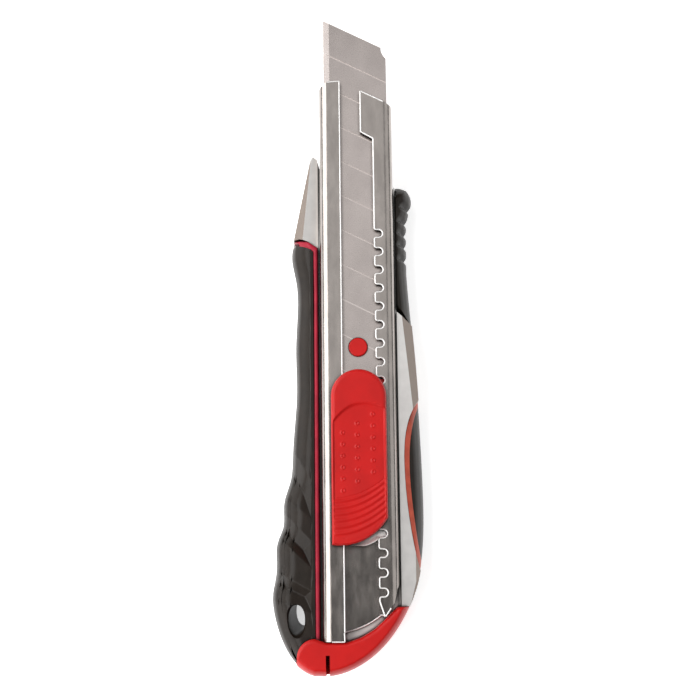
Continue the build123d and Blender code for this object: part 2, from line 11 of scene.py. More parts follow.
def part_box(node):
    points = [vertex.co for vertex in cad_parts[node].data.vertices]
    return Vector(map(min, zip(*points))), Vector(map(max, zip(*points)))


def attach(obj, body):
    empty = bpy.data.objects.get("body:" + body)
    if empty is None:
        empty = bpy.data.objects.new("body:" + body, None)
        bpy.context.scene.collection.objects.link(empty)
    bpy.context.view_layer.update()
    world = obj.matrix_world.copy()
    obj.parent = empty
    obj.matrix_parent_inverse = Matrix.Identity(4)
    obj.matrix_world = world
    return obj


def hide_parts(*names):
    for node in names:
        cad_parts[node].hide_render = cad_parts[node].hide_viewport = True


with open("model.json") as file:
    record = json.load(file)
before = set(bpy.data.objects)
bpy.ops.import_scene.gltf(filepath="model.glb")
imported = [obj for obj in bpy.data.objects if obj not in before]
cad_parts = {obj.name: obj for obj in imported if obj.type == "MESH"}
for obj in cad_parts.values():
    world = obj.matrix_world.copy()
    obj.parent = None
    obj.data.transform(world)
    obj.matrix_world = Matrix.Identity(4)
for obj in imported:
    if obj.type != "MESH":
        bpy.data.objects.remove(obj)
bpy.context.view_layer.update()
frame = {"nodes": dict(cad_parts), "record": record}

bl_info = {
    "name": "Snap-off utility knife",
    "version": (1, 0, 0),
    "blender": (4, 5, 0),
    "location": "View3D > Sidebar > Knife",
    "description": "Shapes and finishes of an 18 mm snap-off knife around its packed frame",
    "category": "Object",
}

# Shapes are worked out in millimetres and divided by 1000 as they go into a mesh.
MM = 0.001


# ------------------------------------------------------------------ reading the frame
def corners(node):
    """Lowest and highest corner of a node in millimetres."""
    low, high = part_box(node)
    return np.array(low) / MM, np.array(high) / MM


def node_edges(node):
    """Every triangle edge of a node as an array (edges, 2 ends, 3) in millimetres."""
    mesh = frame["nodes"][node].data
    points = np.empty(len(mesh.vertices) * 3)
    mesh.vertices.foreach_get("co", points)
    mesh.calc_loop_triangles()
    index = np.empty(len(mesh.loop_triangles) * 3, dtype=np.int64)
    mesh.loop_triangles.foreach_get("vertices", index)
    triangles = points.reshape(-1, 3)[index.reshape(-1, 3)] / MM
    return np.stack([triangles, np.roll(triangles, -1, axis=1)], axis=2).reshape(-1, 2, 3)


def reach(node, axis, stations, side, across):
    """How far a node reaches along one axis at stations on another.

    Each edge that crosses the plane of a station is cut there; the furthest cut on the given side (1 or
    -1) counts. Stations past the node's ends take the value of the nearest one inside.
    """
    edges = node_edges(node)
    start, end = edges[:, 0, across], edges[:, 1, across]
    low, high = start.min(), start.max()
    at = np.clip(np.asarray(stations, dtype=float), low + 0.02, high - 0.02)[:, None]
    run = np.where(np.abs(end - start) < 1e-9, 1e-9, end - start)
    share = (at - start) / run
    found = edges[:, 0, axis] + share * (edges[:, 1, axis] - edges[:, 0, axis])
    found = np.where((share >= 0) & (share <= 1), found, -side * np.inf)
    return found.max(axis=1) if side > 0 else found.min(axis=1)


# Faces of the casting are level where the upward part of their normal is above this; the rest are painted the
# darker side colour as painted shade.
SHADED_TILT_LEVEL = 0.88
# Score lines cross the blade 27 degrees from square and 10 mm apart, with floors 0.34 mm wide that are
# painted bright as highlight.
SCORE_SLOPE = math.tan(math.radians(27.0))
SCORE_PITCH = 10.0
SCORE_HALF_WIDTH = 0.17
# The honed strip lies beyond this far to the left of the centre line; it is painted brighter, partly for its
# finish and partly as painted highlight.
BLADE_STRIP = 7.3
# The blade in use lies above this height and the spare blades below it.
SPARES_TOP = 12.0
BLADE_LOW, BLADE_HIGH = corners("blade")
# Thickness of the channel's sheet.
CHANNEL_SHEET = 0.8
CHANNEL_LOW, CHANNEL_HIGH = corners("guide_channel")
HANDLE_TOP = corners("handle_body")[1][2]


# ------------------------------------------------------------------ making meshes
def add_piece(name, points, faces, body, replaced, slot, material, crease=38.0):
    """One finished object from millimetre points and quad or n-gon faces, riding on a body."""
    mesh = bpy.data.meshes.new(name)
    mesh.from_pydata((np.asarray(points) * MM).tolist(), [], faces)
    mesh.validate()
    mesh.shade_smooth()
    mesh.set_sharp_from_angle(angle=math.radians(crease))
    mesh.materials.append(material)
    piece = bpy.data.objects.new(name, mesh)
    bpy.context.scene.collection.objects.link(piece)
    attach(piece, body)
    if replaced:
        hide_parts(*replaced)
    return piece


def slab(top, bottom):
    """Closed solid between two sheets of the same grid (columns, rows, 3).

    Quads join neighbours on each sheet, the lower sheet wound the other way, and one strip of quads
    closes each of the four sides. Columns run towards +X and rows towards +Y.
    """
    columns, rows = top.shape[:2]
    points = np.concatenate([top.reshape(-1, 3), bottom.reshape(-1, 3)])
    upper = np.arange(columns * rows).reshape(columns, rows)
    lower = upper + columns * rows

    def quads(a, b, c, d):
        return np.stack([a, b, c, d], axis=-1).reshape(-1, 4)

    faces = np.concatenate(
        [
            quads(upper[:-1, :-1], upper[1:, :-1], upper[1:, 1:], upper[:-1, 1:]),
            quads(lower[:-1, 1:], lower[1:, 1:], lower[1:, :-1], lower[:-1, :-1]),
            quads(upper[:-1, 0], lower[:-1, 0], lower[1:, 0], upper[1:, 0]),
            quads(upper[1:, -1], lower[1:, -1], lower[:-1, -1], upper[:-1, -1]),
            quads(upper[0, 1:], lower[0, 1:], lower[0, :-1], upper[0, :-1]),
            quads(upper[-1, :-1], lower[-1, :-1], lower[-1, 1:], upper[-1, 1:]),
        ]
    )
    return points, faces


def join_shapes(*shapes):
    """Several (points, faces) shapes as one."""
    points, faces, offset = [], [], 0
    for shape_points, shape_faces in shapes:
        points.append(shape_points)
        faces.append(np.asarray(shape_faces) + offset)
        offset += len(shape_points)
    return np.concatenate(points), np.concatenate(faces)


def sheet(x, y, z):
    """Grid of points from three arrays that broadcast together."""
    return np.stack(np.broadcast_arrays(x, y, z), axis=-1)


def even(count, low=0.0, high=1.0):
    """Evenly spaced numbers from low to high, both included."""
    return np.linspace(low, high, count)


def ease(t):
    """0 to 1 with flat ends: 3t^2 - 2t^3."""
    t = np.clip(t, 0.0, 1.0)
    return t * t * (3.0 - 2.0 * t)


def rounded_drop(distance, steps, blend=0.3):
    """Height over the distance in from an edge: a broken line through steps, averaged over +-blend."""
    run, rise = zip(*steps)
    taps = even(7, -blend, blend)
    return np.mean([np.interp(distance + tap, run, rise) for tap in taps], axis=0)


def plane_through(points):
    """Coefficients (a, b, c) of a x + b y + c through three (x, y, value) points."""
    points = np.array(points, dtype=float)
    system = np.column_stack([points[:, :2], np.ones(3)])
    return np.linalg.solve(system, points[:, 2])


# ------------------------------------------------------------------ colour and nodes
def srgb(code):
    """Linear RGBA of an sRGB hex colour such as "d9d6d4"."""
    channels = [int(code[i : i + 2], 16) / 255 for i in (0, 2, 4)]
    return tuple(c / 12.92 if c <= 0.04045 else ((c + 0.055) / 1.055) ** 2.4 for c in channels) + (1.0,)


def add_node(tree, kind, inputs=None, **settings):
    """Add one shader node; an input is a value, or the socket that feeds it."""
    node = tree.nodes.new(kind)
    for key, value in settings.items():
        setattr(node, key, value)
    for key, value in (inputs or {}).items():
        if isinstance(value, bpy.types.NodeSocket):
            tree.links.new(value, node.inputs[key])
        else:
            node.inputs[key].default_value = value
    return node


def new_material(name, **shader):
    """A material with one Principled shader; returns it, its tree, the shader and object coordinates."""
    material = bpy.data.materials.new(name)
    material.use_nodes = True
    tree = material.node_tree
    tree.nodes.clear()
    principled = add_node(tree, "ShaderNodeBsdfPrincipled", shader)
    add_node(tree, "ShaderNodeOutputMaterial", {"Surface": principled.outputs[0]})
    place = add_node(tree, "ShaderNodeTexCoord").outputs["Object"]
    return material, tree, principled, place


def noise(tree, place, sizes, detail=2.0):
    """Noise whose grains measure sizes, in millimetres, along each axis."""
    scale = tuple(1.0 / (size * MM) for size in sizes)
    vector = add_node(tree, "ShaderNodeMapping", {"Vector": place, "Scale": scale}).outputs[0]
    inputs = {"Vector": vector, "Scale": 1.0, "Detail": detail}
    return add_node(tree, "ShaderNodeTexNoise", inputs).outputs["Fac"]


def mottle(tree, fac, dark, light):
    """Linear colour that wanders from dark to light as a noise goes from 0.35 to 0.65."""
    ramp = add_node(tree, "ShaderNodeValToRGB", {"Fac": fac})
    ramp.color_ramp.elements[0].position = 0.35
    ramp.color_ramp.elements[0].color = dark
    ramp.color_ramp.elements[1].position = 0.65
    ramp.color_ramp.elements[1].color = light
    return ramp.outputs["Color"]


def painted_corner_shade(tree, colour, reach_mm, darkest):
    """A colour darkened within reach of an inside corner or a joint line, by ambient occlusion: painted
    shade.
    """
    inputs = {"Distance": reach_mm * MM}
    open_sky = add_node(tree, "ShaderNodeAmbientOcclusion", inputs, samples=12).outputs["AO"]
    limits = {"Value": open_sky, "From Min": 0.5, "From Max": 0.9, "To Min": darkest, "To Max": 1.0}
    keep = add_node(tree, "ShaderNodeMapRange", limits).outputs["Result"]
    return add_node(tree, "ShaderNodeVectorMath", {0: colour, 1: keep}, operation="MULTIPLY").outputs[0]


def dress(tree, shader, colour, gloss, low, high, *relief):
    """Give the shader a colour, a roughness that follows a noise from low to high, and its relief.

    Each entry of the relief is a height field with its full swing in millimetres, over the one before.
    """
    limits = {"Value": gloss, "From Min": 0.3, "From Max": 0.7, "To Min": low, "To Max": high}
    roughness = add_node(tree, "ShaderNodeMapRange", limits).outputs["Result"]
    below = {}
    for height, depth in relief:
        inputs = {"Height": height, "Distance": depth * MM, "Strength": 1.0, **below}
        below = {"Normal": add_node(tree, "ShaderNodeBump", inputs).outputs["Normal"]}
    tree.links.new(colour, shader.inputs["Base Color"])
    tree.links.new(roughness, shader.inputs["Roughness"])
    tree.links.new(below["Normal"], shader.inputs["Normal"])


def shade(colour, factor):
    """A colour made darker or lighter, as RGBA."""
    return tuple(min(1.0, c * factor) for c in colour[:3]) + (1.0,)


# ------------------------------------------------------------------ finishes
def cast_zinc(colours):
    """Die-cast zinc alloy under a satin lacquer with a fine orange-peel skin. Faces that tilt away from level
    are painted the darker side colour as painted shade, and inside corners get painted shade."""
    material, tree, shader, place = new_material("satin die-cast zinc", Metallic=0.9)
    cloud = noise(tree, place, (2.5, 2.5, 2.5), 3.0)
    peel = noise(tree, place, (0.28, 0.28, 0.28))
    face = mottle(tree, cloud, shade(colours.zinc, 0.96), shade(colours.zinc, 1.03))
    # painted shade: faces tilted away from level take the darker side colour
    facing = add_node(tree, "ShaderNodeTexCoord").outputs["Normal"]
    level = add_node(tree, "ShaderNodeSeparateXYZ", {"Vector": facing}).outputs["Z"]
    painted_shade_mask = add_node(tree, "ShaderNodeMath", {0: level, 1: SHADED_TILT_LEVEL}, operation="LESS_THAN").outputs[0]
    sides = {0: painted_shade_mask, 6: face, 7: (*colours.zinc_painted_shade, 1.0)}
    colour = add_node(tree, "ShaderNodeMix", sides, data_type="RGBA").outputs[2]
    # painted shade in inside corners and joint lines
    colour = painted_corner_shade(tree, colour, 1.1, 0.08)
    dress(tree, shader, colour, peel, 0.34, 0.44, (peel, 0.005))
    return material


def drawn_steel(colours):
    """Cold-drawn stainless strip: long faint draw lines that run down the channel, and handling smears."""
    material, tree, shader, place = new_material("drawn stainless strip", Metallic=1.0)
    smear = noise(tree, place, (2.4, 7.0, 2.4), 4.0)
    lines = noise(tree, place, (0.22, 30.0, 0.22))
    colour = mottle(tree, smear, shade(colours.channel, 0.8), shade(colours.channel, 1.02))
    wave = noise(tree, place, (2.6, 200.0, 4.0), 1.0)
    # painted shade in inside corners and under the lips
    colour = painted_corner_shade(tree, colour, 1.6, 0.25)
    dress(tree, shader, colour, smear, 0.17, 0.27, (wave, 0.05), (lines, 0.0012))
    return material


def ground_steel(colours):
    """Hardened carbon steel, surface ground: a smooth oiled face; a strip along the cutting edge painted
    brighter, partly for its honed finish and partly as painted highlight; score-line floors painted bright as
    highlight; painted shade in inside corners."""
    material, tree, shader, place = new_material("ground blade steel", Metallic=1.0)
    cloud = noise(tree, place, (6.0, 9.0, 6.0), 3.0)
    grain = noise(tree, place, (1.2, 0.35, 1.2))
    face = mottle(tree, cloud, shade(colours.blade, 0.93), shade(colours.blade, 1.04))
    axes = add_node(tree, "ShaderNodeSeparateXYZ", {"Vector": place}).outputs
    first_score = (BLADE_HIGH[1] + SCORE_SLOPE * BLADE_LOW[0]) * MM
    # mask of the painted highlight: the honed strip (partly its finish) and the score-line floors of the
    # blade in use, made brighter and less metallic
    steps = (
        ("strip", "LESS_THAN", (axes["X"], -BLADE_STRIP * MM)),
        ("strip", "MULTIPLY", ("strip", 0.12)),
        ("along", "MULTIPLY_ADD", (axes["X"], SCORE_SLOPE, axes["Y"])),
        ("along", "SUBTRACT", ("along", first_score)),
        ("score", "PINGPONG", ("along", SCORE_PITCH / 2 * MM)),
        ("score", "LESS_THAN", ("score", SCORE_HALF_WIDTH * MM)),
        ("in_use", "GREATER_THAN", (axes["Z"], SPARES_TOP * MM)),
        ("score", "MULTIPLY", ("score", "in_use")),
        ("bright", "MAXIMUM", ("strip", "score")),
        ("metal", "MULTIPLY_ADD", ("bright", -0.25, 1.0)),
    )
    found = {}
    for name, operation, values in steps:
        values = [found[value] if isinstance(value, str) else value for value in values]
        step = add_node(tree, "ShaderNodeMath", dict(enumerate(values)), operation=operation)
        found[name] = step.outputs[0]
    # painted highlight where the mask is set, painted shade in inside corners elsewhere
    painted_highlight_mix = {0: found["bright"], 6: painted_corner_shade(tree, face, 1.6, 0.25), 7: shade(colours.blade, 1.3)}
    colour = add_node(tree, "ShaderNodeMix", painted_highlight_mix, data_type="RGBA").outputs[2]
    tree.links.new(found["metal"], shader.inputs["Metallic"])
    dress(tree, shader, colour, grain, 0.23, 0.28, (grain, 0.0002))
    return material


def spring_strip(colours):
    """Rolled spring strip with fine rolling lines: near-white and half diffuse, partly bright steel and
    partly painted highlight, with painted shade in inside corners.
    """
    material, tree, shader, place = new_material("bright rolled spring strip", Metallic=0.55)
    lines = noise(tree, place, (0.3, 8.0, 0.3))
    colour = mottle(tree, lines, shade(colours.spring, 0.88), shade(colours.spring, 1.05))
    # painted shade in inside corners, very dark beside the slider
    colour = painted_corner_shade(tree, colour, 2.0, 0.04)
    dress(tree, shader, colour, lines, 0.16, 0.24, (lines, 0.001))
    return material


def painted_highlight_rim(colours):
    """The deburred, rounded edge of the sheet, painted near-white and half diffuse so that it reads bright
    from every side: painted highlight.
    """
    material, tree, shader, place = new_material("deburred sheet edge", Metallic=0.35)
    grain = noise(tree, place, (0.5, 0.5, 0.5))
    # painted highlight: near-white colour and low metallic make the edge read bright from every side
    colour = mottle(tree, grain, shade(colours.rim, 0.92), shade(colours.rim, 1.0))
    dress(tree, shader, colour, grain, 0.3, 0.42, (grain, 0.002))
    return material


def soft_rubber(name, colour, roughness):
    """Thermoplastic elastomer moulded on to the casting: matt, with a spark-eroded grain, and painted shade
    in creases and inside corners.
    """
    material, tree, shader, place = new_material(name, **{"Specular IOR Level": 0.2})
    cloud = noise(tree, place, (4.0, 4.0, 4.0), 3.0)
    grain = noise(tree, place, (0.2, 0.2, 0.2))
    # painted shade in creases and inside corners
    tone = painted_corner_shade(tree, mottle(tree, cloud, shade(colour, 0.85), shade(colour, 1.15)), 1.5, 0.3)
    dress(tree, shader, tone, grain, roughness - 0.05, roughness + 0.05, (grain, 0.008))
    return material


def moulded_abs(colours):
    """Injection-moulded ABS: an even red with a slight sheen over a fine spark texture."""
    material, tree, shader, place = new_material("moulded red ABS", **{"Specular IOR Level": 0.25})
    cloud = noise(tree, place, (6.0, 6.0, 6.0), 3.0)
    grain = noise(tree, place, (0.22, 0.22, 0.22))
    colour = mottle(tree, cloud, shade(colours.red, 0.93), shade(colours.red, 1.06))
    dress(tree, shader, colour, grain, 0.36, 0.46, (grain, 0.006))
    return material


FINISHES = {}


def make_finishes(colours):
    """Fill FINISHES with one material for each material slot of the record, and the rims' own."""
    FINISHES.update(
        die_cast=cast_zinc(colours),
        channel_steel=drawn_steel(colours),
        blade_steel=ground_steel(colours),
        spring_steel=spring_strip(colours),
        black_soft_grip=soft_rubber("black TPE", colours.grip, 0.37),
        red_soft_trim=soft_rubber("crimson TPE", colours.trim, 0.4),
        orange_soft_trim=soft_rubber("brick-red TPE", colours.palm_trim, 0.42),
        red_plastic=moulded_abs(colours),
        tray_plastic=soft_rubber("black polypropylene", colours.tray, 0.36),
        rim=painted_highlight_rim(colours),
    )
    FINISHES["screw_steel"] = FINISHES["spring_steel"]


# ------------------------------------------------------------------ settings
def length(name, description, millimetres):
    """A length property with its default given in millimetres."""
    return FloatProperty(
        name=name, description=description, default=millimetres * MM, unit="LENGTH", precision=5
    )


def tint(name, description, code):
    """A colour property with an sRGB hex default."""
    return FloatVectorProperty(
        name=name, description=description, default=srgb(code)[:3], subtype="COLOR", size=3, min=0.0, max=1.0
    )


def angle(name, description, degrees):
    """An angle property with its default given in degrees."""
    return FloatProperty(name=name, description=description, default=math.radians(degrees), subtype="ANGLE")


def power(name, watts):
    """A lamp's power."""
    return FloatProperty(name=name, description="power in watts", default=watts, unit="POWER")


class KnifeColours(bpy.types.PropertyGroup):
    """Colours of the knife's finishes."""

    zinc: tint("Zinc", "satin lacquered casting", "e2dfdc")
    # painted shade: the darker colour that stands in for the shade on the casting's bevels and sides
    zinc_painted_shade: tint("Zinc sides", "bevels and sides of the casting, painted darker as shade", "92877f")
    channel: tint("Channel", "drawn stainless strip", "a69f9a")
    blade: tint("Blade", "ground carbon steel", "b8afab")
    # near-white spring colour: partly bright steel, partly painted highlight
    spring: tint("Spring", "rolled spring strip", "f4f1ee")
    # painted highlight: the near-white colour of the sheet's rounded edges
    rim: tint("Rim", "deburred edge of the sheet", "fbf9f7")
    grip: tint("Grip", "black soft moulding", "221c17")
    trim: tint("Grip trim", "crimson soft moulding", "a01f33")
    palm_trim: tint("Palm trim", "brick-red soft moulding", "b85340")
    red: tint("Slider and cap", "red ABS", "b81210")
    tray: tint("Tray", "black polypropylene", "26241f")


class KnifeGripSizes(bpy.types.PropertyGroup):
    """Depths of the soft grips' relief."""

    scallop: length("Scallop depth", "how deep each finger scallop is cut", 1.5)
    strip: length("Flat strip", "flat strip beside the trim", 0.85)
    thumb_groove: length("Thumb groove depth", "depth of the grooves between the thumb ribs", 1.7)
    thumb_notch: length("Thumb notch", "how far the grooves notch the outline", 0.75)
    trim_crown: length("Trim crown", "how far the trims stand proud of the casting", 0.12)


class KnifeSliderSizes(bpy.types.PropertyGroup):
    """Relief of the thumb slider."""

    dish: length("Dish depth", "depth of the thumb dish behind its step", 0.75)
    ring: length("Ring height", "height of the raised rings", 0.17)
    ring_radius: length("Ring radius", "radius of each raised ring", 0.43)
    rib: length("Rib height", "height of the curved ribs at the rear", 0.23)
    rib_pitch: length("Rib pitch", "distance from rib to rib", 1.72)


class KnifeStage(bpy.types.PropertyGroup):
    """Camera and lamps."""

    tilt: angle("Tilt", "camera tipped from straight down", 10.0)
    lean: angle("Lean", "knife turned in the view", 0.644)
    distance: length("Distance", "camera to the top of the channel", 358.0)
    shift: length("Shift", "camera to the left of the centre line", 2.79)
    left: power("Left lamp", 9.8)
    right: power("Right lamp", 2.6)
    top: power("Top lamp", 1.45)
    world: FloatProperty(name="Surroundings", description="brightness of the studio around", default=0.2)


class KnifeSettings(bpy.types.PropertyGroup):
    """All settings of the knife."""

    colours: PointerProperty(type=KnifeColours)
    grips: PointerProperty(type=KnifeGripSizes)
    slider: PointerProperty(type=KnifeSliderSizes)
    stage: PointerProperty(type=KnifeStage)
    rim_radius: length("Rim radius", "radius of the channel's rounded sheet edges", 0.24)


# ------------------------------------------------------------------ shapes
# Cross-section of the handle's rounded sides: distance in from the outline, and height.
LEFT_SIDE = (
    (-1.0, 5.0), (0.0, 5.6), (0.3, 7.3), (0.9, 8.9), (2.7, 10.9), (3.3, 11.5), (3.8, 11.95), (4.3, 12.25),
    (4.8, 12.45), (5.4, 12.55), (9.0, 12.65), (20.0, 12.65),
)
RIGHT_SIDE = (
    (-1.0, 5.4), (0.0, 6.2), (0.3, 8.2), (0.8, 9.6), (1.8, 11.3), (2.6, 12.2), (3.6, 12.7), (5.0, 12.9),
    (20.0, 12.9),
)
# Scallops of the finger grip as plan points: the far end of the cut's upper edge, its apex beside the
# strip, the corner of its floor, the far end of the floor line, and where the last facet meets the strip.
SCALLOPS = (
    ((-16.6, -30.0), (-13.1, -36.3), (-15.9, -38.0), (-18.0, -36.2), (-13.1, -46.6)),
    ((-17.8, -47.6), (-13.2, -52.5), (-15.5, -54.8), (-18.8, -51.7), (-13.2, -59.7)),
    ((-20.1, -61.9), (-13.3, -65.7), (-15.2, -67.2), (-20.5, -65.2), (-12.9, -72.0)),
)
THUMB_VALLEYS = (41.4, 37.5, 34.0, 30.5, 26.5)


def scallop_depth(x, y, depth):
    """Depth of the scallops: each is the pit under three planes, and the lowest of them counts.

    One plane falls from the upper edge to the floor corner, one rises from the floor line to the end of
    the pit, and one climbs to the strip.
    """
    total = np.zeros(np.broadcast(x, y).shape)
    for upper, apex, corner, floor, end in SCALLOPS:
        fall = plane_through([(*upper, 0.0), (*apex, 0.0), (*corner, depth)])
        rise = plane_through([(*corner, depth), (*floor, depth), (*end, 0.0)])
        climb = plane_through([(*apex, 0.0), (*end, 0.0), (*corner, depth)])
        pit = np.minimum.reduce([a * x + b * y + c for a, b, c in (fall, rise, climb)])
        total = np.maximum(total, pit)
    return total


def finger_grip_shape(sizes):
    """Slab whose left side follows the handle's outline and whose right side is the seam with the trim.

    Rows run from the edge of the end cap to the trim's band. The height is the side's cross-section over
    the distance from the outline, a flat strip beside the seam, less the scallops.
    """
    low, high = corners("finger_grip")
    seam = high[0]
    across = even(66)
    along = np.concatenate([even(330, 0.0, 0.5)[:-1], even(70, 0.5, 1.0)])
    rear = np.full(across.shape, low[1])
    front = np.full(across.shape, high[1])
    for _ in range(4):
        rear_left = reach("finger_grip", 0, rear, -1, 1)
        rear = reach("finger_grip", 1, rear_left + (seam - rear_left) * across - 0.02, -1, 0)
        front_left = reach("finger_grip", 0, front, -1, 1)
        front = reach("finger_grip", 1, front_left + (seam - front_left) * across - 0.02, 1, 0)
    y = rear[:, None] + (front - rear)[:, None] * along[None, :]
    left_at = even(500, low[1], high[1])
    left = np.interp(y, left_at, reach("finger_grip", 0, left_at, -1, 1))
    x = left + (seam - left) * across[:, None]
    z = rounded_drop(x - left, LEFT_SIDE)
    z = z - scallop_depth(x, y, sizes.scallop / MM)
    strip = ease((x - (seam - sizes.strip / MM)) / 0.12 + 0.5)
    z = np.maximum(z * (1 - strip) + (HANDLE_TOP - 0.1) * strip, low[2] + 1.0)
    inset = 2.4 * (1 - across[:, None]) ** 2
    bottom = sheet(x + inset, y, low[2] + 0.05)
    return slab(sheet(x, y, z), bottom)


def lanyard_cutter():
    """Slanted tube of oblong section that flares where it leaves the grip's face.

    Its centre line leans left and rearwards as it rises; the section is an oval of 4.6 by 8 mm whose
    size grows over the last millimetre.
    """
    centre = np.array((-17.8, -73.8, 13.0))
    lean = np.array((-0.16, -0.2, 0.97)) / 0.97
    turn = even(65, 0.0, 2 * math.pi)[:-1]
    height = np.array((-16.0, -4.0, -2.6, -2.2, -1.9, -1.6, -1.2, 3.0))
    flare = np.array((0.0, 0.0, 0.0, 0.03, 0.1, 0.22, 0.45, 1.6))
    oval_x = np.sign(np.cos(turn)) * np.abs(np.cos(turn)) ** 0.92
    oval_y = np.sign(np.sin(turn)) * np.abs(np.sin(turn)) ** 0.92
    x = centre[0] + lean[0] * height[:, None] + (2.2 + flare[:, None]) * oval_x
    y = centre[1] + lean[1] * height[:, None] + (3.95 + flare[:, None]) * oval_y
    z = centre[2] + height[:, None] + 0 * turn
    points = sheet(x, y, z).reshape(-1, 3)
    ring = np.arange(len(turn))
    rows = np.arange(len(height) - 1)[:, None] * len(turn)
    after = np.roll(ring, -1)
    sides = np.stack([rows + ring, rows + after, rows + after + len(turn), rows + ring + len(turn)], axis=-1)
    faces = sides.reshape(-1, 4).tolist()
    faces.append(ring[::-1].tolist())
    faces.append((ring + len(turn) * (len(height) - 1)).tolist())
    return points, faces


def cut(piece, points, faces):
    """Cut a closed shape out of a piece and keep the result as its mesh."""
    tool_mesh = bpy.data.meshes.new("cutter")
    tool_mesh.from_pydata((np.asarray(points) * MM).tolist(), [], faces)
    tool = bpy.data.objects.new("cutter", tool_mesh)
    bpy.context.scene.collection.objects.link(tool)
    modifier = piece.modifiers.new("cut", "BOOLEAN")
    modifier.object = tool
    modifier.solver = "EXACT"
    graph = bpy.context.evaluated_depsgraph_get()
    result = bpy.data.meshes.new_from_object(piece.evaluated_get(graph))
    piece.modifiers.clear()
    piece.data = result
    result.shade_smooth()
    result.set_sharp_from_angle(angle=math.radians(38.0))
    bpy.data.objects.remove(tool)
    bpy.data.meshes.remove(tool_mesh)


def finger_trim_shape(sizes):
    """Band with a crowned section carried along the seam: up beside the channel, then over the grip's front.

    Its two edges are broken lines given point for point; columns share the width between them, and the
    ends of the rows follow the lines' lengths.
    """
    low, high = corners("finger_grip_trim")
    inner, seam = high[0], corners("finger_grip")[1][0]
    front = corners("finger_grip")[1][1]
    left = reach("finger_grip_trim", 0, [front - 0.3, high[1] - 0.3], -1, 1)
    channel_side = np.array([
        (inner, low[1]), (inner, -40.0), (inner, 0.0), (inner, 20.0), (inner, front - 1.3),
        (-13.6, front + 0.5),
        (-16.2, front + 1.4), (left[1], high[1] - 0.05),
    ])
    grip_side = np.array([
        (seam, low[1]), (seam, -40.0), (seam, 0.0), (seam, 20.0), (seam, front - 2.7), (-13.6, front - 1.5),
        (-16.2, front - 0.3), (left[0], front),
    ])
    knots = np.array((0.0, 0.25, 0.5, 0.65, 0.74, 0.8, 0.9, 1.0))
    along = even(220)
    across = even(15)[:, None]
    edges = [
        np.stack([np.interp(along, knots, side[:, axis]) for axis in (0, 1)])
        for side in (grip_side, channel_side)
    ]
    x = edges[0][0] + (edges[1][0] - edges[0][0]) * across
    y = edges[0][1] + (edges[1][1] - edges[0][1]) * across
    left_at = even(300, low[1], high[1])
    reaches = [reach(node, 0, left_at, -1, 1) for node in ("finger_grip", "finger_grip_trim")]
    outline = np.interp(y, left_at, np.minimum(*reaches))
    crown = 1.0 - np.abs(2.0 * across - 1.0) ** 3.0
    z = np.minimum(rounded_drop(x - outline, LEFT_SIDE) + 0.3, HANDLE_TOP)
    z = z - 0.5 + (0.5 + sizes.trim_crown / MM) * crown
    z = np.maximum(z, low[2] + 0.4)
    return slab(sheet(x, y, z), sheet(x, y, low[2] + 0.03))


def thumb_grip_shape(sizes):
    """Slab between the channel's wall and a notched outline, domed, with grooves across its outer half.

    The outline is the handle's less one bell-shaped notch at each groove. The height is the side's
    cross-section over the distance from the nearest edge, less a bell-shaped groove that fades inwards.
    """
    low, high = corners("thumb_grip")
    across, along = even(60), even(330)
    inner = low[0]
    rear = reach("thumb_grip", 1, inner + 0.05 + (high[0] - 1.3 - inner) * across, -1, 0)
    front = reach("thumb_grip", 1, inner + 0.05 + (high[0] - 1.0 - inner) * across, 1, 0)
    y = rear[:, None] + (front - rear)[:, None] * along[None, :]
    stations = even(500, low[1], high[1])
    outline = np.interp(y, stations, reach("thumb_grip", 0, stations, 1, 1))
    grooves = np.zeros(y.shape)
    for valley in THUMB_VALLEYS:
        grooves = grooves + np.exp(-(np.abs(y - valley) / 0.62) ** 1.6)
    outline = outline - grooves * sizes.thumb_notch / MM
    x = inner + (outline - inner) * across[:, None]
    slanted = np.zeros(y.shape)
    for valley in THUMB_VALLEYS:
        slanted = slanted + np.exp(-(np.abs(y - valley - 0.25 * (outline - x)) / 0.6) ** 1.6)
    from_edge = np.minimum.reduce([outline - x, (front[:, None] - y) * 0.8, (y - rear[:, None]) * 1.2 + 0.6])
    z = rounded_drop(from_edge, RIGHT_SIDE, 0.25)
    fade = ease(1.25 * across[:, None] - 0.2)
    z = z - slanted * fade * sizes.thumb_groove / MM
    z = z - 0.35 * ease(1 - (x - inner) / 0.35)
    z = np.maximum(z, low[2] + 1.2)
    inset = 1.6 * across[:, None] ** 2
    return slab(sheet(x, y, z), sheet(x - inset, y, low[2] + 0.05))


def side_band_shape(node, crown, columns, rows):
    """Slab that fills a node's reach from side to side at each station, under the handle's rounded side.

    crown is added along the middle of the band as a parabola across it.
    """
    low, high = corners(node)
    stations = even(rows, low[1] + 0.05, high[1] - 0.05)
    left, right = reach(node, 0, stations, -1, 1), reach(node, 0, stations, 1, 1)
    everything = [reach(name, 0, stations, 1, 1) for name in ("palm_inlay", "palm_inlay_trim", "handle_body")]
    outline = np.max(everything, axis=0)
    across = even(columns)[:, None]
    x = left + (right - left) * across
    y = stations[None, :] + 0 * across
    z = rounded_drop(outline - x, RIGHT_SIDE, 0.25)
    width = np.minimum(right - left, 1.0)
    z = np.minimum(z + crown * width * (1.0 - np.abs(2.0 * across - 1.0) ** 2.5), high[2])
    inset = 1.6 * ease(1.0 - (outline - x) / 2.5)
    return slab(sheet(x, y, z), sheet(x - inset, y, low[2] + 0.05))


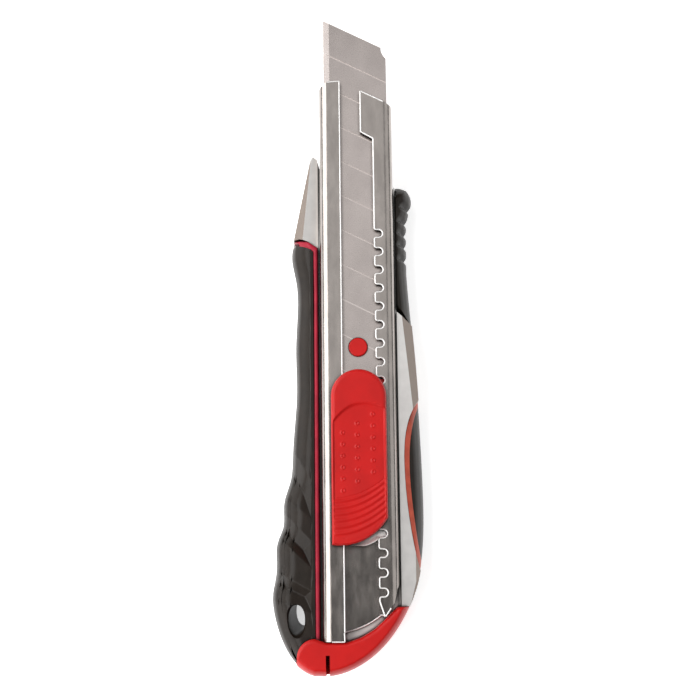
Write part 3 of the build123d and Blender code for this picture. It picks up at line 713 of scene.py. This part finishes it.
def end_cap_shape():
    """Slab over the handle's tail: even height, rounded front edge, falling rear side, and a saw-cut slit.

    Each column runs from the tail's outline to the cap's front edge. The distance from either edge is
    measured square to it, and the cross-section of the rounded edge follows that distance.
    """
    low, high = corners("end_cap")
    slit_left, slit_right = -9.65, -8.55
    columns = np.concatenate([
        low[0] + 0.03 + (slit_left - low[0]) * (1 - np.cos(even(26) * math.pi / 2)),
        [slit_left + 0.12, slit_right - 0.12],
        slit_right + (high[0] - 0.05 - slit_right) * np.sin(even(70) * math.pi / 2),
    ])
    front = reach("end_cap", 1, columns, 1, 0)
    front = np.where((columns > -9.9) & (columns < 9.8), np.minimum(front, cap_front(columns)), front)
    rear_at = np.where((columns > slit_left - 0.1) & (columns < slit_right + 0.1), slit_left - 0.3, columns)
    rear = reach("end_cap", 1, rear_at, -1, 0)
    along = 0.5 - 0.5 * np.cos(even(64) * math.pi)
    y = rear[:, None] + (front - rear)[:, None] * along[None, :]
    x = columns[:, None] + 0 * y
    tilt_front = np.cos(np.arctan(np.gradient(front, columns)))[:, None]
    tilt_rear = np.cos(np.arctan(np.gradient(rear, columns)))[:, None]
    from_front = (front[:, None] - y) * tilt_front
    from_rear = (y - rear[:, None]) * tilt_rear
    top = high[2]
    front_edge = rounded_drop(
        from_front, ((-1, top - 0.9), (0.0, top - 0.7), (0.35, top - 0.15), (0.9, top), (60, top)), 0.2
    )
    rear_edge = rounded_drop(
        from_rear,
        ((-1, 7.0), (0.0, 9.5), (0.2, 12.0), (0.6, 13.6), (1.1, 14.5), (1.8, top), (60, top)),
        0.3,
    )
    z = np.minimum(front_edge, rear_edge)
    in_slit = (x > slit_left + 0.05) & (x < slit_right - 0.05) & (y < -82.7)
    z = np.where(in_slit, 2.0, z)
    bottom = sheet(x, y + 2.0 * (1 - along) ** 3, low[2] + 0.05)
    return slab(sheet(x, y, z), bottom)


def cap_front(x):
    """Front edge of the cap from the lobe to the right end: a line, then an arc that rises to the right."""
    stations = (-12.0, -9.6, -3.9, 0.0, 3.6, 6.6, 9.6)
    return np.interp(x, stations, (-78.3, -79.3, -79.3, -78.0, -75.9, -73.2, -70.2))


def slider_outline(x):
    """Rear and front end of the slider at x: an arc that climbs to the right, and a half circle."""
    low, high = corners("thumb_slider")
    middle, half = (low[0] + high[0]) / 2, (high[0] - low[0]) / 2
    front = high[1] - half + np.sqrt(np.clip(half**2 - (x - middle) ** 2, 0.0, None))
    rear = reach("thumb_slider", 1, x, -1, 0)
    return rear, front


def thumb_slider_shape(sizes):
    """Slab with a rounded rim, a step that bounds the thumb dish, raised rings and curved ribs, on a neck.

    The height is a cross-section over the distance from the nearest edge, less a smooth step behind a
    parabola, plus a bell over the distance from each ring's circle, plus squared cosines across the ribs.
    """
    low, high = corners("thumb_slider")
    middle, half = (low[0] + high[0]) / 2, (high[0] - low[0]) / 2
    across = middle - (half - 0.01) * np.cos(even(120) * math.pi)
    rear, front = slider_outline(across)
    front_rows = 0.9 + 0.1 * np.sin(even(30) * math.pi / 2)
    along = np.concatenate([0.06 * ease(even(12))[:-1], even(330, 0.06, 0.9)[:-1], front_rows])
    y = rear[:, None] + (front - rear)[:, None] * along[None, :]
    x = across[:, None] + 0 * y
    centre_y = high[1] - half
    from_side = half - np.abs(x - middle)
    from_front = half - np.hypot(x - middle, np.maximum(y - centre_y, 0.0))
    slope = np.cos(np.arctan(np.gradient(rear, across)))[:, None]
    from_rear = (y - rear[:, None]) * slope
    inside = np.minimum.reduce([from_side, from_front, from_rear])
    top = high[2]
    rim = ((-1, top - 1.6), (0.0, top - 1.15), (0.15, top - 0.55), (0.5, top - 0.15), (1.0, top), (60, top))
    z = rounded_drop(inside, rim, 0.12)

    step_y = -15.4 - np.where(x < 0.5, 0.083, 0.034) * (x - 0.5) ** 2
    dish = ease((step_y - y) / 1.1) * ease((inside - 0.25) / 0.7)
    hollow = 0.35 + 0.65 * np.clip(1.0 - ((y + 31.0) / 17.0) ** 2, 0.0, 1.0)
    z = z - sizes.dish / MM * dish * hollow

    rings = np.zeros(x.shape)
    for column_x, first_y in ((-4.5, -23.75), (-0.6, -21.25), (3.65, -18.85)):
        for row in range(6):
            radius = np.hypot(x - column_x, y - (first_y - 3.11 * row))
            rings = np.maximum(rings, np.exp(-(((radius - sizes.ring_radius / MM) / 0.15) ** 2)))
    z = z + rings * sizes.ring / MM

    line = -42.1 + 6.0 * np.clip((x - low[0]) / (2 * half), 0, 1) ** 2.2
    phase = (line - y) / (sizes.rib_pitch / MM)
    fade = ease(phase / 0.5 + 1.0) * ease((6.0 - phase) / 0.5) * ease((inside - 0.3) / 0.5)
    ribs = np.cos(math.pi * phase) ** 2 * fade
    z = z + (ribs - 0.35) * sizes.rib / MM * (phase > -0.5) * (phase < 6.0)
    plate_under = CHANNEL_HIGH[2] + 0.3
    plate = slab(sheet(x, y, z), sheet(x, y, plate_under))
    neck_x, neck_y = even(3, -4.1, 4.6)[:, None], even(3, -42.0, -14.0)[None, :]
    neck = slab(sheet(neck_x, neck_y, plate_under + 0.5), sheet(neck_x, neck_y, low[2] + 0.02))
    return join_shapes(plate, neck)


def lock_leaf_shape():
    """Bent leaf behind the slider: a strip along its rear arc, curled at the free edge, nose in a notch.

    Columns run along the arc and rows across the strip; the height adds a bell at the free edge.
    """
    low, high = corners("lock_spring")
    x = even(70, low[0] + 0.05, high[0] - 0.1)[:, None]
    rear, _ = slider_outline(np.clip(x[:, 0], -7.4, 7.3))
    reach_back = np.interp(x[:, 0], (-3.0, -2.0, 0.0, 1.5, 4.6, 6.6), (0.3, 0.3, 1.1, 1.7, 2.4, 4.2))[:, None]
    across = even(14)[None, :]
    start = rear[:, None] - reach_back
    end = rear[:, None] + 2.0
    y = start + (end - start) * across
    y = np.where(x > 4.9, np.clip(y, -51.9, -49.7), y)
    curl = np.exp(-((across / 0.18) ** 2))
    z = low[2] + 0.35 + 0.25 * curl
    return slab(sheet(x, y, z), sheet(x, y, low[2] + 0.05))


def rim_shape(radius):
    """Rounded sheet edge: a six-sided bead along the edges of the lips' top face and the floor's rear end.

    Such an edge lies at the height of that face and belongs to an upright triangle. The bead's section
    is turned to the edge's direction, and each end is closed with one face.
    """
    mesh_edges = node_edges("guide_channel").reshape(-1, 3, 2, 3)
    normal = np.cross(mesh_edges[:, 0, 1] - mesh_edges[:, 0, 0], mesh_edges[:, 1, 1] - mesh_edges[:, 1, 0])
    normal /= np.linalg.norm(normal, axis=1, keepdims=True) + 1e-12
    upright = np.abs(normal[:, 2]) < 0.05
    edges = mesh_edges[upright].reshape(-1, 2, 3)
    size = np.linalg.norm(edges[:, 1] - edges[:, 0], axis=1)
    level = np.abs(edges[:, :, 2] - CHANNEL_HIGH[2]).max(axis=1) < 0.01
    at_floor = np.abs(edges[:, :, 2] - CHANNEL_LOW[2] - CHANNEL_SHEET).max(axis=1) < 0.01
    floor_end = at_floor & (edges[:, :, 1].max(axis=1) < -60.0)
    edges = edges[(level | floor_end) & (size > 0.02)]
    direction = edges[:, 1] - edges[:, 0]
    direction /= np.linalg.norm(direction, axis=1, keepdims=True)
    up = np.array((0.0, 0.0, 1.0))
    side = np.cross(direction, up)
    turn = even(7, 0.0, 2 * math.pi)[:-1]
    section = side[:, None, :] * np.cos(turn)[None, :, None] + up * np.sin(turn)[None, :, None]
    drop = np.array((0.0, 0.0, -0.75 * radius))
    rings = [edges[:, end, None, :] + section * radius + drop for end in (0, 1)]
    points = np.concatenate(rings, axis=1).reshape(-1, 3)
    base = (np.arange(len(edges)) * 12)[:, None, None]
    ring = np.arange(6)
    after = np.roll(ring, -1)
    sides = base + np.stack([ring + 6, after + 6, after, ring], axis=-1)[None]
    ends = base + np.stack([ring, ring[::-1] + 6])[None]
    faces = sides.reshape(-1, 4).tolist() + ends.reshape(-1, 6).tolist()
    return points, faces


# ------------------------------------------------------------------ operators
class KNIFE_OT_finishes(bpy.types.Operator):
    """Make every finish and give each frame node the one that it is made of"""

    bl_idname = "knife.finishes"
    bl_label = "Finishes"

    def execute(self, context):
        make_finishes(context.scene.knife.colours)
        for part in frame["record"]["subparts"]:
            mesh = frame["nodes"][part["node"]].data
            mesh.materials.clear()
            mesh.materials.append(FINISHES[part["material_slot"]])
        return {"FINISHED"}


class KNIFE_OT_finger_grip(bpy.types.Operator):
    """Finger grip with its scallops and lanyard hole, and the crimson band round it"""

    bl_idname = "knife.finger_grip"
    bl_label = "Finger grip"

    def execute(self, context):
        sizes = context.scene.knife.grips
        grip = add_piece(
            "finger_grip_skin", *finger_grip_shape(sizes), "handle", ["finger_grip"], "black_soft_grip",
            FINISHES["black_soft_grip"],
        )
        cut(grip, *lanyard_cutter())
        add_piece(
            "finger_grip_band", *finger_trim_shape(sizes), "handle", ["finger_grip_trim"], "red_soft_trim",
            FINISHES["red_soft_trim"],
        )
        return {"FINISHED"}


class KNIFE_OT_thumb_grip(bpy.types.Operator):
    """Ribbed thumb grip beside the channel's front"""

    bl_idname = "knife.thumb_grip"
    bl_label = "Thumb grip"

    def execute(self, context):
        add_piece(
            "thumb_grip_skin", *thumb_grip_shape(context.scene.knife.grips), "handle", ["thumb_grip"],
            "black_soft_grip", FINISHES["black_soft_grip"],
        )
        return {"FINISHED"}


class KNIFE_OT_palm_inlay(bpy.types.Operator):
    """Palm inlay and the brick-red band round it"""

    bl_idname = "knife.palm_inlay"
    bl_label = "Palm inlay"

    def execute(self, context):
        crown = context.scene.knife.grips.trim_crown / MM
        add_piece(
            "palm_inlay_skin", *side_band_shape("palm_inlay", 0.0, 24, 160), "handle", ["palm_inlay"],
            "black_soft_grip", FINISHES["black_soft_grip"],
        )
        add_piece(
            "palm_inlay_band", *side_band_shape("palm_inlay_trim", crown, 14, 200), "handle",
            ["palm_inlay_trim"], "orange_soft_trim", FINISHES["orange_soft_trim"],
        )
        return {"FINISHED"}


class KNIFE_OT_end_cap(bpy.types.Operator):
    """Pull-off end cap with its slit"""

    bl_idname = "knife.end_cap"
    bl_label = "End cap"

    def execute(self, context):
        red = FINISHES["red_plastic"]
        add_piece("end_cap_shell", *end_cap_shape(), "cap", ["end_cap"], "red_plastic", red)
        return {"FINISHED"}


class KNIFE_OT_thumb_slider(bpy.types.Operator):
    """Thumb slider with its dish, rings and ribs"""

    bl_idname = "knife.thumb_slider"
    bl_label = "Thumb slider"

    def execute(self, context):
        add_piece(
            "slider_button", *thumb_slider_shape(context.scene.knife.slider), "slider", ["thumb_slider"],
            "red_plastic", FINISHES["red_plastic"],
        )
        return {"FINISHED"}


class KNIFE_OT_lock_leaf(bpy.types.Operator):
    """Curled tail of the lock spring, behind the slider"""

    bl_idname = "knife.lock_leaf"
    bl_label = "Lock leaf"

    def execute(self, context):
        add_piece(
            "lock_leaf", *lock_leaf_shape(), "carrier", ["lock_spring"], "spring_steel",
            FINISHES["spring_steel"],
        )
        return {"FINISHED"}


class KNIFE_OT_channel_rims(bpy.types.Operator):
    """Rounded, deburred edges of the channel's lips, teeth and pad"""

    bl_idname = "knife.channel_rims"
    bl_label = "Channel rims"

    def execute(self, context):
        radius = context.scene.knife.rim_radius / MM
        # the beads wear the near-white rim finish: painted highlight
        add_piece("channel_rims", *rim_shape(radius), "handle", [], "channel_steel", FINISHES["rim"], 80.0)
        return {"FINISHED"}


class KNIFE_OT_stage(bpy.types.Operator):
    """Pale floor, soft lamps on both sides and a camera above the knife, tipped towards its rear"""

    bl_idname = "knife.stage"
    bl_label = "Stage"

    def execute(self, context):
        stage = context.scene.knife.stage
        collection = context.scene.collection
        right = Vector((math.cos(stage.lean), -math.sin(stage.lean), 0))
        up = Vector((
            math.cos(stage.tilt) * math.sin(stage.lean), math.cos(stage.tilt) * math.cos(stage.lean),
            math.sin(stage.tilt),
        ))
        back = right.cross(up)
        camera = bpy.data.objects.new("camera", bpy.data.cameras.new("camera"))
        collection.objects.link(camera)
        spot = Vector((0, 0, CHANNEL_HIGH[2] * MM)) + back * stage.distance - right * stage.shift
        camera.matrix_world = Matrix.Translation(spot) @ Matrix((right, up, back)).transposed().to_4x4()
        camera.data.sensor_width = 36.0
        camera.data.lens = 67.24
        camera.data.clip_start = 0.01
        context.scene.camera = camera

        size = 3.0
        outline = [(-size, -size, 0), (size, -size, 0), (size, size, 0), (-size, size, 0)]
        floor_mesh = bpy.data.meshes.new("floor")
        floor_mesh.from_pydata(outline, [], [(0, 1, 2, 3)])
        material, _, shader, _ = new_material("matt white paper", Roughness=0.95)
        shader.inputs["Base Color"].default_value = srgb("ffffff")
        shader.inputs["Emission Color"].default_value = srgb("ffffff")
        shader.inputs["Emission Strength"].default_value = 0.6
        floor_mesh.materials.append(material)
        floor = bpy.data.objects.new("floor", floor_mesh)
        collection.objects.link(floor)

        lamps = (
            ("left softbox", (-0.5, 0.0, 0.5), 1.2, 0.72, stage.left),
            ("right softbox", (0.72, 0.1, 0.66), 1.15, 0.9, stage.right),
            ("top softbox", (0.0, 0.46, 1.5), 0.75, 0.75, stage.top),
        )
        for name, place, width, height, watts in lamps:
            lamp = bpy.data.lights.new(name, "AREA")
            lamp.energy, lamp.shape, lamp.size, lamp.size_y = watts, "RECTANGLE", width, height
            holder = bpy.data.objects.new(name, lamp)
            collection.objects.link(holder)
            holder.location = place
            holder.rotation_mode = "QUATERNION"
            holder.rotation_quaternion = (-Vector(place)).to_track_quat("-Z", "Y")
        world = bpy.data.worlds.new("studio")
        world.use_nodes = True
        world.node_tree.nodes["Background"].inputs["Color"].default_value = (stage.world,) * 3 + (1.0,)
        context.scene.world = world
        context.scene.view_settings.view_transform = "Standard"
        return {"FINISHED"}


class KNIFE_PT_panel(bpy.types.Panel):
    """The knife's pieces, in the order that they are made"""

    bl_label = "Knife"
    bl_space_type = "VIEW_3D"
    bl_region_type = "UI"
    bl_category = "Knife"

    def draw(self, context):
        for operator in OPERATORS:
            self.layout.operator(operator.bl_idname)


GROUPS = (KnifeColours, KnifeGripSizes, KnifeSliderSizes, KnifeStage, KnifeSettings)
OPERATORS = (
    KNIFE_OT_finishes, KNIFE_OT_finger_grip, KNIFE_OT_thumb_grip, KNIFE_OT_palm_inlay, KNIFE_OT_end_cap,
    KNIFE_OT_thumb_slider, KNIFE_OT_lock_leaf, KNIFE_OT_channel_rims, KNIFE_OT_stage,
)


def register():
    for cls in (*GROUPS, *OPERATORS, KNIFE_PT_panel):
        bpy.utils.register_class(cls)
    bpy.types.Scene.knife = PointerProperty(type=KnifeSettings)


def unregister():
    del bpy.types.Scene.knife
    for cls in reversed((*GROUPS, *OPERATORS, KNIFE_PT_panel)):
        bpy.utils.unregister_class(cls)


def main():
    register()
    for operator in OPERATORS:
        group, name = operator.bl_idname.split(".")
        getattr(getattr(bpy.ops, group), name)()


if __name__ == "__main__":
    main()
